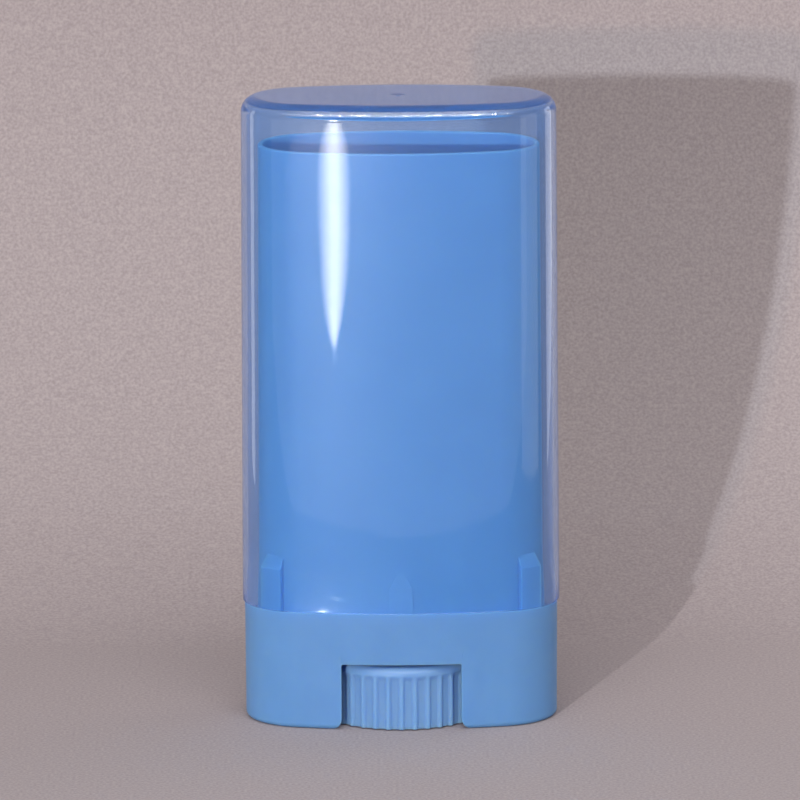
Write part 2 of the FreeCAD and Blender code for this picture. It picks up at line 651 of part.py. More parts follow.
def make_platform():
    """The platform that lifts the stick: an oval cup with a threaded nut."""
    body = new_body("platform")
    outline = new_sketch(body, "platform_outline", offset=("0", "0", PLATE_UNDER))
    draw_oval(outline, PLATFORM_OUTSIDE)
    add_feature(body, "Pad", "platform_block", outline, {"Length": "Sizes.cup_tall"})
    inside = new_sketch(body, "cup_outline", offset=("0", "0", PLATE_TOP))
    draw_oval(inside, PLATFORM_OUTSIDE.inset("Sizes.cup_wall"))
    drives = {"Length": "Sizes.cup_tall - Sizes.plate_thick"}
    cut_feature(body, "Pocket", "cup", inside, drives, Reversed=True)
    for end in (-1, 1):
        cut_feed_holes(body, end)
        add_anchor(body, end)
    add_nut(body)
    return body


def cut_feed_holes(body, end):
    """A ring of holes through the plate at one end."""
    name = "left" if end < 0 else "right"
    place = (f"{end} * {PLATFORM_OUTSIDE.end_centre}", "0", PLATE_UNDER)
    turn = (UP, "180 / Sizes.feed_hole_count")
    sketch = new_sketch(body, f"{name}_feed_outline", offset=place, turn=turn)
    ring_radius = f"({PLATFORM_OUTSIDE.end_radius} - {FEED_MARGIN})"
    draw_circle(sketch, "Sizes.feed_hole_radius", across=ring_radius)
    drives = {"Length": "Sizes.plate_thick"}
    hole = cut_feature(body, "Pocket", f"{name}_feed_hole", sketch, drives, Reversed=True)
    polar_pattern(body, f"{name}_feed_holes", hole, "Sizes.feed_hole_count", (sketch, ["N_Axis"]))


def add_anchor(body, end):
    """The rib that the stick is cast round, from the nut to the end wall."""
    name = "left" if end < 0 else "right"
    near = f"{end} * {BOSS_RADIUS} / 2"
    far = f"{end} * ({PLATFORM_OUTSIDE.wide} / 2 - Sizes.cup_wall / 2)"
    low, high = sorted((near, far), key=size)
    half = "Sizes.anchor_thick / 2"
    sketch = new_sketch(body, f"{name}_anchor_outline", offset=("0", "0", PLATE_UNDER))
    draw_box(sketch, (low, f"-{half}"), (high, half))
    drives = {"Length": "Sizes.plate_thick + Sizes.anchor_tall"}
    add_feature(body, "Pad", f"{name}_anchor", sketch, drives)


def add_nut(body):
    """The nut: boss, recess over the snap bead, bore and thread."""
    boss = new_sketch(body, "boss_outline", offset=("0", "0", PLATE_UNDER))
    draw_circle(boss, BOSS_RADIUS)
    add_feature(body, "Pad", "boss", boss, {"Length": "Sizes.boss_tall"})
    recess_deep = f"({BEAD_TOP} + Sizes.platform_rest_gap - {PLATE_UNDER})"
    recess = new_sketch(body, "recess_outline", offset=("0", "0", PLATE_UNDER))
    draw_circle(recess, f"{BEAD_RADIUS} + Sizes.platform_rest_gap")
    cut_feature(body, "Pocket", "bead_recess", recess, {"Length": recess_deep}, Reversed=True)
    bore = new_sketch(body, "nut_bore_outline", offset=("0", "0", PLATE_UNDER))
    draw_circle(bore, NUT_BORE_RADIUS)
    cut_feature(body, "Pocket", "nut_bore", bore, {"Length": "Sizes.boss_tall"}, Reversed=True)
    start = f"({THREAD_START} - Sizes.thread_pitch)"
    thread = new_sketch(body, "nut_thread_outline", plane="XZ_Plane", offset=("0", start, "0"))
    draw_outline(thread, thread_corners("Sizes.thread_gap"))
    drives = {
        "Pitch": "Sizes.thread_pitch",
        "Height": f"{BOSS_TOP} - {start} + Sizes.thread_pitch",
    }
    axis = (thread, ["V_Axis"])
    cut_feature(body, "SubtractiveHelix", "nut_thread", thread, drives, ReferenceAxis=axis, Mode=0)


def check_document(bodies):
    """Stops if any object failed or any sub-part isn't one valid solid."""
    for item in document.Objects:
        if "Invalid" in item.State or "Error" in item.State:
            raise RuntimeError(f"{item.Name}: {item.State}")
    for body in bodies:
        shape = body.Shape
        if shape.isNull() or not shape.isValid() or len(shape.Solids) != 1:
            raise RuntimeError(f"{body.Label} isn't one valid solid")


def main():
    make_sheet()
    bodies = (make_cap(), make_barrel(), make_screw_dial(), make_platform())
    document.recompute()
    check_document(bodies)
    os.makedirs("parts", exist_ok=True)
    for body in bodies:
        body.Shape.exportStep(f"parts/{body.Label}.step")
        print(body.Label, round(body.Shape.Volume, 1))


main()
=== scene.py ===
"""Looks of an oval twist-up stick dispenser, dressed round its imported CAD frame.

The dispenser stands empty with its clear cap on. Its front, where the thumb turns
the dial, looks along -Y, and the long side of the oval lies along X. Meshes are
drawn in millimetres and brought to metres when they are finished.
"""

import logging
import math
from dataclasses import dataclass, field
from enum import Enum

import bmesh
import bpy
from mathutils import Matrix, Vector

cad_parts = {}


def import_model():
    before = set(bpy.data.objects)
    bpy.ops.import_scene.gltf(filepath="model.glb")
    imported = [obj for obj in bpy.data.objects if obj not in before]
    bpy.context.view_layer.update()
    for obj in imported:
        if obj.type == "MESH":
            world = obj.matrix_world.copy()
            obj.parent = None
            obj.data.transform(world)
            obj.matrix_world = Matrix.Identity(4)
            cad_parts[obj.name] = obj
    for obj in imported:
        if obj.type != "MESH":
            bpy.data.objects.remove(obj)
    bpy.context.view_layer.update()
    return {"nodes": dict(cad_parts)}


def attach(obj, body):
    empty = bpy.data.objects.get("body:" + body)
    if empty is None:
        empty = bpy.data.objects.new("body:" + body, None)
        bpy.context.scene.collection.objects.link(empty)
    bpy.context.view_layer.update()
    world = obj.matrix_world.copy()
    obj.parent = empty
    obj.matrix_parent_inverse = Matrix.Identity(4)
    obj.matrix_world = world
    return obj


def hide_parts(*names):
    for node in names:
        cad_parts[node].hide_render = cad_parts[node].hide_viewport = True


LOG = logging.getLogger("stick_dispenser")
MM = 0.001
LEVEL = 0.001  # mm; rings closer in height than this are level
NOISE_RANGE = (0.3, 0.7)  # what nearly all of a noise texture keeps between
UP = Vector((0.0, 0.0, 1.0))

Ring = list[bmesh.types.BMEdge]
Inputs = dict[str | int, object]


class LampFace(Enum):
    """The outline of a lamp's face."""

    ROUND = "ELLIPSE"
    PANEL = "RECTANGLE"


class Slot(Enum):
    """The record's material slots."""

    CAP = "clear_cap"
    BARREL = "barrel_plastic"
    DIAL = "dial_plastic"
    PLATFORM = "platform_plastic"


def linear(colour: str) -> tuple[float, float, float, float]:
    """Turns an sRGB hex colour into the linear colour that shaders take.

    Args:
        colour: Six hex digits after a number sign.

    Returns:
        Red, green, blue and an alpha of one.
    """
    channels = (int(colour[at : at + 2], 16) / 255 for at in (1, 3, 5))
    red, green, blue = (
        c / 12.92 if c <= 0.04045 else ((c + 0.055) / 1.055) ** 2.4 for c in channels
    )
    return red, green, blue, 1.0


def per_mm(size: float) -> float:
    """The scale of a pattern on Object coordinates whose features are size mm apart."""
    return 1 / (size * MM)


def add_node(
    tree: bpy.types.NodeTree, kind: str, inputs: Inputs | None = None, **settings: object
) -> bpy.types.Node:
    """Adds a node with its settings, values and links.

    Args:
        tree: The node tree that the node goes in.
        kind: Blender's name for the node's type.
        inputs: A value or another node's output for each named or numbered input.
        **settings: The node's own properties.

    Returns:
        The new node.
    """
    node = tree.nodes.new(kind)
    for name, value in settings.items():
        setattr(node, name, value)
    for name, value in (inputs or {}).items():
        if isinstance(value, bpy.types.NodeSocket):
            tree.links.new(value, node.inputs[name])
        else:
            node.inputs[name].default_value = value
    return node


def new_tree(name: str) -> tuple[bpy.types.Material, bpy.types.NodeTree]:
    """Makes a node material with nothing in it.

    Args:
        name: What the material is called.

    Returns:
        The material and its empty node tree.
    """
    material = bpy.data.materials.new(name)
    material.use_nodes = True
    material.node_tree.nodes.clear()
    return material, material.node_tree


def noise(
    tree: bpy.types.NodeTree, size: float, low: float, high: float, detail: float = 2.0
) -> bpy.types.NodeSocket:
    """A soft cloudy pattern on Object coordinates, as a number between two values.

    Args:
        tree: The material's node tree.
        size: Distance between the pattern's clouds, in mm.
        low: The number in its darkest places.
        high: The number in its lightest places.
        detail: How much finer structure the clouds have.

    Returns:
        The output that carries the number.
    """
    place = add_node(tree, "ShaderNodeTexCoord").outputs["Object"]
    inputs = {"Vector": place, "Scale": per_mm(size), "Detail": detail}
    cloud = add_node(tree, "ShaderNodeTexNoise", inputs).outputs["Fac"]
    inputs = {"Value": cloud, "To Min": low, "To Max": high}
    inputs["From Min"], inputs["From Max"] = NOISE_RANGE
    return add_node(tree, "ShaderNodeMapRange", inputs).outputs["Result"]


@dataclass(frozen=True)
class MouldedPolypropylene:
    """Satin polypropylene, injection moulded in a fine-blasted steel mould.

    The blasted steel leaves a fine grain that spreads highlights and dulls them, the
    melt leaves faint clouds of colour, and the walls let a little light in.
    """

    name: str
    pale: str
    deep: str
    smooth: float = 0.34
    dull: float = 0.44
    cloud: float = 14.0  # mm between flow clouds
    sheen: float = 3.5  # mm between glossier places
    grain: float = 0.45  # mm; real grain is near 0.05 mm, drawn coarser so that it shows
    grain_deep: float = 0.004  # mm
    ior: float = 1.49
    gloss: float = 0.15  # of a clean surface's, which would be 0.5
    milky: float = 0.8
    milky_deep: tuple[float, float, float] = (1.8, 2.4, 3.6)  # mm that red, green, blue go in

    def material(self) -> bpy.types.Material:
        """Makes the finish.

        Returns:
            A new node material.
        """
        material, tree = new_tree(self.name)
        share = noise(tree, self.cloud, 0.0, 1.0)
        inputs = {0: share, 6: linear(self.deep), 7: linear(self.pale)}
        colour = add_node(tree, "ShaderNodeMix", inputs, data_type="RGBA").outputs[2]
        inputs = {
            "Height": noise(tree, self.grain, 0.0, 1.0),
            "Distance": self.grain_deep * MM,
            "Strength": 1.0,
        }
        grain = add_node(tree, "ShaderNodeBump", inputs).outputs["Normal"]
        inputs = {
            "Base Color": colour,
            "Roughness": noise(tree, self.sheen, self.smooth, self.dull),
            "IOR": self.ior,
            "Specular IOR Level": self.gloss,
            "Normal": grain,
            "Subsurface Weight": self.milky,
            "Subsurface Radius": self.milky_deep,
            "Subsurface Scale": MM,
        }
        plastic = add_node(tree, "ShaderNodeBsdfPrincipled", inputs)
        add_node(tree, "ShaderNodeOutputMaterial", {"Surface": plastic.outputs[0]})
        return material


BARREL_FINISH = MouldedPolypropylene(
    "Satin polypropylene, light blue barrel", "#6a9ad0", "#6696cc"
)
DIAL_FINISH = MouldedPolypropylene("Satin polypropylene, light blue dial", "#78a2d5", "#749ed1")
LIFT_FINISH = MouldedPolypropylene(
    "Satin polypropylene, light blue platform", "#6a9ad0", "#6696cc"
)


@dataclass(frozen=True)
class ClearStyrene:
    """Clear styrene copolymer, moulded in polished steel and tinted violet blue.

    It is glossy and hard-edged. A trace of haze scatters blue light. Where the eye looks along a
    wall, a painted glow of stronger, deeper blue stands in for the barrel's blue that the wall
    leads along. Lamps reach what stands behind it.
    """

    name: str = "Clear styrene, polished mould, violet-blue tint"
    tint: str = "#d4eaff"
    lit: str = "#dcfafc"  # what each surface lets through to what it covers
    shade: str = "#f6fafc"  # and through to what lies in its shadow
    haze: str = "#5a96ee"  # painted glow where it looks along the wall, standing in for the barrel's blue led along it
    painted_edge_glow: str = "#3f86ee"  # where it looks along the wall
    thin_haze: float = 0.045  # share of haze where the eye looks straight through
    edge_haze_with_painted_glow: float = 0.4  # share of haze and painted glow where it looks along the wall
    edge_spread: float = 0.2  # how early a slanting look counts as one along the wall
    ripple: float = 26.0  # mm between the ripples that the cooling wall drew in
    ripple_deep: float = 0.03  # mm
    polish: tuple[float, float] = (0.02, 0.05)  # roughness, from its best to its worst places
    polish_cloud: float = 5.0  # mm between those places
    ior: float = 1.57
    gloss: float = 0.55  # of a clean surface's
    haze_rough: float = 0.3

    def material(self) -> bpy.types.Material:
        """Makes the finish.

        Returns:
            A new node material.
        """
        material, tree = new_tree(self.name)
        inputs = {
            "Height": noise(tree, self.ripple, 0.0, 1.0, detail=0.0),
            "Distance": self.ripple_deep * MM,
            "Strength": 1.0,
        }
        ripple = add_node(tree, "ShaderNodeBump", inputs).outputs["Normal"]
        inputs = {
            "Base Color": linear(self.tint),
            "Roughness": noise(tree, self.polish_cloud, *self.polish),
            "IOR": self.ior,
            "Specular Tint": (self.gloss, self.gloss, self.gloss, 1.0),
            "Transmission Weight": 1.0,
            "Normal": ripple,
        }
        clear = add_node(tree, "ShaderNodeBsdfPrincipled", inputs).outputs[0]
        inputs = {"Blend": self.edge_spread}
        edge = add_node(tree, "ShaderNodeLayerWeight", inputs).outputs["Facing"]
        # Painted glow: where the eye looks along a wall, the haze turns deeper blue and stronger.
        # This stands in for the barrel's blue that the wall leads along.
        inputs = {0: edge, 6: linear(self.haze), 7: linear(self.painted_edge_glow)}
        glow = add_node(tree, "ShaderNodeMix", inputs, data_type="RGBA").outputs[2]
        inputs = {"Base Color": glow, "Roughness": self.haze_rough, "IOR": self.ior}
        haze = add_node(tree, "ShaderNodeBsdfPrincipled", inputs).outputs[0]
        inputs = {"Value": edge, "To Min": self.thin_haze, "To Max": self.edge_haze_with_painted_glow}
        share = add_node(tree, "ShaderNodeMapRange", inputs).outputs["Result"]
        inputs = {0: share, 1: clear, 2: haze}
        body = add_node(tree, "ShaderNodeMixShader", inputs).outputs[0]
        lit = add_node(tree, "ShaderNodeBsdfTransparent", {"Color": linear(self.lit)}).outputs[0]
        shade = add_node(tree, "ShaderNodeBsdfTransparent", {"Color": linear(self.shade)})
        path = add_node(tree, "ShaderNodeLightPath").outputs
        inputs = {0: path["Is Diffuse Ray"], 1: body, 2: lit}
        soft = add_node(tree, "ShaderNodeMixShader", inputs).outputs[0]
        inputs = {0: path["Is Shadow Ray"], 1: soft, 2: shade.outputs[0]}
        surface = add_node(tree, "ShaderNodeMixShader", inputs).outputs[0]
        add_node(tree, "ShaderNodeOutputMaterial", {"Surface": surface})
        return material


def pour(part: bmesh.types.BMesh, bm: bmesh.types.BMesh) -> Ring:
    """Moves a drawn part into a mesh.

    Args:
        part: The part, which is freed.
        bm: The mesh that it joins.

    Returns:
        The part's edges in that mesh.
    """
    known = set(bm.edges)
    mesh = bpy.data.meshes.new("drawn_part")
    part.to_mesh(mesh)
    part.free()
    bm.from_mesh(mesh)
    bpy.data.meshes.remove(mesh)
    return [edge for edge in bm.edges if edge not in known]


@dataclass(frozen=True)
class Oval:
    """An oval of two end arcs and two flatter face arcs, tangent where they meet.

    All sizes are in mm. Ovals inset from each other keep the same arc centres.
    """

    half_wide: float
    half_deep: float
    relief: float = 2.07  # half depth less the radius of the ends
    end_steps: int = 64
    face_steps: int = 44

    @property
    def end_radius(self) -> float:
        """Radius of the end arcs."""
        return self.half_deep - self.relief

    @property
    def end_centre(self) -> float:
        """Distance of an end arc's centre from the middle."""
        return self.half_wide - self.end_radius

    @property
    def face_centre(self) -> float:
        """Distance of a face arc's centre from the middle, on the far side of it."""
        squares = self.end_centre**2 + self.half_deep**2 - self.end_radius**2
        return squares / (2 * self.relief) - self.half_deep

    def inset(self, gap: float) -> "Oval":
        """The oval that lies inside this one by a gap in mm all round."""
        wide, deep = self.half_wide - gap, self.half_deep - gap
        return Oval(wide, deep, self.relief, self.end_steps, self.face_steps)

    def draw(self, bm: bmesh.types.BMesh, height: float) -> Ring:
        """Spins a point round the four arcs.

        Args:
            bm: The mesh that the oval is drawn in.
            height: Its height in mm.

        Returns:
            The closed ring of new edges.
        """
        corner = math.atan2(self.face_centre, self.end_centre)
        start = Vector((self.end_centre, 0, height)) + self.end_radius * Vector(
            (math.cos(corner), -math.sin(corner), 0)
        )
        ring = bmesh.new()
        first = point = bmesh.ops.create_vert(ring, co=start)["vert"][0]
        arcs = (
            ((self.end_centre, 0, height), 2 * corner, self.end_steps),
            ((0, -self.face_centre, height), math.pi - 2 * corner, self.face_steps),
            ((-self.end_centre, 0, height), 2 * corner, self.end_steps),
            ((0, self.face_centre, height), math.pi - 2 * corner, self.face_steps),
        )
        for number, (centre, turn, steps) in enumerate(arcs, 1):
            made = steps - 1 if number == len(arcs) else steps
            spun = bmesh.ops.spin(
                ring, geom=[point], cent=centre, axis=UP, angle=turn * made / steps, steps=made
            )
            point = next(e for e in spun["geom_last"] if isinstance(e, bmesh.types.BMVert))
        ring.edges.new((point, first))
        return pour(ring, bm)


def ring_of(bm: bmesh.types.BMesh, radius: float, height: float, chords: int = 72) -> Ring:
    """Draws a level circle about the upright axis.

    Args:
        bm: The mesh that it is drawn in.
        radius: Its radius in mm.
        height: Its height in mm.
        chords: How many edges it has.

    Returns:
        The closed ring of new edges.
    """
    place = Matrix.Translation((0, 0, height))
    made = bmesh.ops.create_circle(bm, segments=chords, radius=radius, matrix=place)["verts"]
    return list(dict.fromkeys(edge for vert in made for edge in vert.link_edges))


def fillet(radius: float, steps: int) -> list[tuple[float, float]]:
    """Points of a quarter round, from its foot on the wall to its top on the flat.

    Args:
        radius: The round's radius in mm.
        steps: How many chords it has.

    Returns:
        Pairs of how far in and how far up each point lies from the foot.
    """
    turns = (math.pi / 2 * step / steps for step in range(steps + 1))
    return [(radius * (1 - math.cos(turn)), radius * math.sin(turn)) for turn in turns]


def loft(bm: bmesh.types.BMesh, rings: list[Ring], level_fill: bool = False) -> None:
    """Joins each ring to the next.

    Args:
        bm: The mesh that holds the rings.
        rings: Closed rings of edges, in order along the surface.
        level_fill: Whether two rings at one height are joined by a flat fill.
    """
    for first, second in zip(rings, rings[1:]):
        rise = abs(first[0].verts[0].co.z - second[0].verts[0].co.z)
        if level_fill and rise < LEVEL:
            bmesh.ops.triangle_fill(bm, use_beauty=True, edges=first + second)
        else:
            bmesh.ops.bridge_loops(bm, edges=first + second)


def skin(bm: bmesh.types.BMesh, rows: list[list[bmesh.types.BMVert]]) -> None:
    """Lays four-sided faces between rows of as many points each.

    Args:
        bm: The mesh that holds the points.
        rows: The rows, each in the same order. A row that closes ends with its first point.
    """
    for low, high in zip(rows, rows[1:]):
        for left in range(len(low) - 1):
            right = left + 1
            bm.faces.new((low[left], low[right], high[right], high[left]))


def finish_mesh(bm: bmesh.types.BMesh, name: str, sharp: float = 28.0) -> bpy.types.Object:
    """Brings a mesh to metres, shades it smooth between its crisp edges and links it.

    Args:
        bm: The finished shape in mm, which is freed.
        name: The name of the piece.
        sharp: The fold in degrees from which an edge stays crisp.

    Returns:
        The new piece.
    """
    bmesh.ops.scale(bm, vec=(MM, MM, MM), verts=bm.verts)
    for face in bm.faces:
        face.smooth = True
    for edge in bm.edges:
        edge.smooth = edge.calc_face_angle(math.pi) < math.radians(sharp)
    mesh = bpy.data.meshes.new(name)
    bm.to_mesh(mesh)
    bm.free()
    piece = bpy.data.objects.new(name, mesh)
    bpy.context.scene.collection.objects.link(piece)
    return piece


def set_piece(
    piece: bpy.types.Object, material: bpy.types.Material, body: str, node: str
) -> None:
    """Gives a piece its finish and lets it stand for its CAD node.

    Args:
        piece: The finished piece.
        material: What it is made of.
        body: The moving body that carries it.
        node: The CAD node that it replaces.
    """
    piece.data.materials.clear()
    piece.data.materials.append(material)
    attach(piece, body)
    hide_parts(node)
    LOG.info("%s rides on %s with %d faces", piece.name, body, len(piece.data.polygons))


@dataclass
class ClearCap:
    """The clear push-on cap: one drafted shell, closed and rounded at the top."""

    outline: Oval = Oval(31.0, 15.15)
    mouth: float = 23.2
    top: float = 123.1
    wall: float = 1.1
    lean: float = 0.25  # degrees of draft
    crown: float = 3.0
    mouth_round: float = 0.3
    wall_rings: int = 10
    top_wall: float = 1.3
    inner_crown: float = 1.0
    crown_steps: int = 14
    lip_steps: int = 3
    flat_edge: float = 0.3  # how far the flat top runs in before its fill starts
    gate_flat: float = 1.7
    gate_dish: float = 1.4
    gate_floor: float = 0.98
    gate_deep: float = 0.06
    gate_stub: float = 0.45
    gate_chords: int = 40
    finish: ClearStyrene = field(default_factory=ClearStyrene)

    def lean_in(self, height: float) -> float:
        """How far the draft has brought the wall in at a height, in mm."""
        return (height - self.mouth) * math.tan(math.radians(self.lean))

    def wall_profile(self, start: float, top: float, crown: float) -> list[tuple[float, float]]:
        """The side and crown of one surface, as insets and heights from the mouth up.

        Args:
            start: Inset of the surface at the mouth.
            top: Height of the flat that it ends in.
            crown: Radius of the round below that flat.

        Returns:
            Pairs of inset and height in mm.
        """
        foot, eaves = self.mouth + self.mouth_round, top - crown
        span = eaves - foot
        heights = [foot + span * step / self.wall_rings for step in range(self.wall_rings + 1)]
        side = [(start + self.lean_in(height), height) for height in heights]
        edge = start + self.lean_in(eaves)
        quarter = fillet(crown, self.crown_steps)[1:]
        rounds = [(edge + inward, eaves + rise) for inward, rise in quarter]
        flat = [(edge + crown + self.flat_edge, top)]
        return side + rounds + flat

    def build(self) -> bpy.types.Object:
        """Draws the outside, the inside and the lip that joins them.

        Returns:
            The cap's shell.
        """
        bm = bmesh.new()
        lip = fillet(self.mouth_round, self.lip_steps)
        foot = self.mouth + self.mouth_round
        outer_lip = [(inward, foot - rise) for inward, rise in lip[:0:-1]]
        outer = outer_lip + self.wall_profile(0.0, self.top, self.crown)
        inner_lip = [(self.wall - inward, foot - rise) for inward, rise in lip[:0:-1]]
        inner = inner_lip + self.wall_profile(
            self.wall, self.top - self.top_wall, self.inner_crown
        )
        outside = [self.outline.inset(gap).draw(bm, height) for gap, height in outer]
        inside = [self.outline.inset(gap).draw(bm, height) for gap, height in inner]
        loft(bm, inside[::-1] + outside)
        bmesh.ops.contextual_create(bm, geom=inside[-1])
        self.add_gate(bm, outside[-1])
        bmesh.ops.recalc_face_normals(bm, faces=bm.faces)
        return finish_mesh(bm, "cap_shell")

    def add_gate(self, bm: bmesh.types.BMesh, rim: Ring) -> None:
        """Fills the top, with the dish and the stub that the moulding gate left.

        Args:
            bm: The cap's mesh.
            rim: The ring of edges that ends the crown.
        """
        floor = self.top - self.gate_deep
        profile = (
            (self.gate_flat, self.top),
            (self.gate_dish, self.top),
            (self.gate_floor, floor),
            (self.gate_stub, floor),
            (self.gate_stub, self.top),
        )
        rings = [ring_of(bm, radius, height, self.gate_chords) for radius, height in profile]
        loft(bm, rings)
        bmesh.ops.contextual_create(bm, geom=rings[-1])
        bmesh.ops.triangle_fill(bm, use_beauty=True, edges=rim + rings[0])

    def make(self) -> None:
        """Builds the cap and sets it on its body."""
        set_piece(self.build(), self.finish.material(), "cap", "cap")


@dataclass(frozen=True)
class LiftingScrew:
    """The core with its blind bore, and the coarse right-hand thread round it."""

    core: float = 3.2
    top: float = 109.5
    bore: float = 1.5
    bore_top: float = 106.5
    crest: float = 4.5
    pitch: float = 4.5
    start: float = 18.45
    root_wide: float = 2.0
    crest_wide: float = 0.9
    crest_round: float = 0.1
    sunk: float = 0.2  # how far the thread's foot is let into the core
    turn_steps: int = 36

    def add_thread(self, bm: bmesh.types.BMesh) -> None:
        """Carries the thread's section up and round the core and closes its two ends.

        Args:
            bm: The mesh of the dial and its core.
        """
        half, root, soft = self.crest_wide / 2, self.root_wide / 2, self.crest_round
        foot = (self.core - self.sunk, root)
        section = (foot, (self.crest - soft, half), (self.crest, half - soft))
        points = [Vector((across, 0, self.start - up)) for across, up in section]
        points += [Vector((across, 0, self.start + up)) for across, up in section[::-1]]
        rise = self.top - self.start - self.root_wide
        steps = round(rise / self.pitch * self.turn_steps)
        rows = []
        for step in range(steps + 1):
            climb = rise * step / steps
            turn = Matrix.Rotation(math.tau * climb / self.pitch, 3, "Z")
            rows.append([bm.verts.new(turn @ point + UP * climb) for point in points])
        skin(bm, [row + row[:1] for row in rows])
        for end in (rows[0], rows[-1]):
            bm.faces.new(end)


@dataclass
class ScrewDial:
    """The ribbed thumb dial with its collar, journal, snap bead, spokes and screw."""

    radius: float = 15.4
    foot: float = 0.25
    top: float = 12.5
    edge_round: float = 1.6
    edge_steps: int = 10
    wall_inside: float = 13.4
    roof_under: float = 10.9
    foot_round: float = 0.15
    ridges: int = 36
    chords: int = 12  # to each ridge and the groove beside it
    flank: tuple[float, ...] = (0.0, 0.03, 0.22, 0.45, 0.5, 0.5, 0.5)  # depth at each chord
    ridge_ends: tuple[tuple[float, float], ...] = (  # height, and share of the grooves' depth
        (9.7, 1.0),
        (10.15, 0.85),
        (10.5, 0.4),
        (10.75, 0.1),
        (10.9, 0.0),
    )
    collar: tuple[float, float] = (6.6, 14.35)  # radius and top
    journal: float = 4.7
    bead: tuple[float, float, float] = (5.08, 16.15, 17.45)  # radius, foot and top
    bead_lip: float = 0.3
    spokes: int = 6
    spoke_thick: float = 1.0
    spoke_foot: float = 1.75
    spoke_roots: tuple[float, float] = (0.2, 0.3)  # let into the journal, and into wall and roof
    screw: LiftingScrew = LiftingScrew()
    finish: MouldedPolypropylene = DIAL_FINISH

    def ridged_ring(
        self, bm: bmesh.types.BMesh, height: float, share: float, inward: float
    ) -> Ring:
        """Draws the dial's ribbed outline at a height.

        Args:
            bm: The mesh that the outline is drawn in.
            height: Its height in mm.
            share: How much of the grooves' depth it has, from none to one.
            inward: How far in mm all of it lies inside the dial's radius.

        Returns:
            The closed ring of new edges.
        """
        chords = self.ridges * self.chords
        ring = ring_of(bm, self.radius - inward, height, chords)
        verts = list(dict.fromkeys(vert for edge in ring for vert in edge.verts))
        for number, depth in enumerate(self.flank):
            shrink = 1 - share * depth / (self.radius - inward)
            same = [vert for vert in verts if self.chord_of(vert) == number]
            bmesh.ops.scale(bm, vec=(shrink, shrink, 1), verts=same)
        return ring

    def chord_of(self, vert: bmesh.types.BMVert) -> int:
        """Counts the chords between a vertex of the outline and the middle of its ridge.

        Args:
            vert: A vertex of the dial's outline.

        Returns:
            The number of chords, at most half of those that a ridge has.
        """
        turns = math.atan2(vert.co.y, vert.co.x) / math.tau
        number = round(turns * self.ridges * self.chords) % self.chords
        return min(number, self.chords - number)

    def turned_rings(self, bm: bmesh.types.BMesh) -> list[Ring]:
        """Draws the rings of the whole turned form, from the bore's roof round to the tip.

        Args:
            bm: The mesh that they are drawn in.

        Returns:
            The rings, in order along the surface.
        """
        screw, low = self.screw, self.foot
        under = (
            (screw.bore, screw.bore_top),
            (screw.bore, low),
            (self.journal, low),
            (self.journal, self.roof_under),
            (self.wall_inside, self.roof_under),
            (self.wall_inside, low + self.foot_round),
            (self.wall_inside + self.foot_round, low),
        )
        ribbed = ((low, 1.0, self.foot_round), (low + self.foot_round, 1.0, 0.0))
        ribbed += tuple((height, share, 0.0) for height, share in self.ridge_ends)
        eaves = self.top - self.edge_round
        above = (
            (self.collar[0], self.top),
            self.collar,
            (self.journal, self.collar[1]),
            (self.journal, self.bead[1]),
            (self.bead[0], self.bead[1]),
            (self.bead[0], self.bead[1] + self.bead_lip),
            (screw.core, self.bead[2]),
            (screw.core, screw.top),
        )
        rings = [ring_of(bm, radius, height) for radius, height in under]
        rings += [self.ridged_ring(bm, height, share, inward) for height, share, inward in ribbed]
        rings += [
            self.ridged_ring(bm, eaves + rise, 0.0, inward)
            for inward, rise in fillet(self.edge_round, self.edge_steps)[1:]
        ]
        return rings + [ring_of(bm, radius, height) for radius, height in above]

    def add_spoke(self, bm: bmesh.types.BMesh, number: int) -> None:
        """Adds one spoke, let into the journal, the roof and the dial's wall.

        Args:
            bm: The dial's mesh.
            number: Which spoke it is, counted round the dial.
        """
        inner_root, outer_root = self.spoke_roots
        near, far = self.journal - inner_root, self.wall_inside + outer_root
        low, high = self.spoke_foot, self.roof_under + outer_root
        size = Matrix.Diagonal((far - near, self.spoke_thick, high - low, 1))
        place = Matrix.Translation(((near + far) / 2, 0, (low + high) / 2))
        turn = Matrix.Rotation(math.tau * number / self.spokes, 4, "Z")
        bmesh.ops.create_cube(bm, size=1, matrix=turn @ place @ size)

    def make(self) -> None:
        """Builds the dial and its screw and sets them on their body."""
        bm = bmesh.new()
        rings = self.turned_rings(bm)
        loft(bm, rings, level_fill=True)
        for end in (rings[0], rings[-1]):
            bmesh.ops.contextual_create(bm, geom=end)
        for number in range(self.spokes):
            self.add_spoke(bm, number)
        self.screw.add_thread(bm)
        bmesh.ops.recalc_face_normals(bm, faces=bm.faces)
        piece = finish_mesh(bm, "dial_and_screw")
        set_piece(piece, self.finish.material(), "dial", "screw_dial")


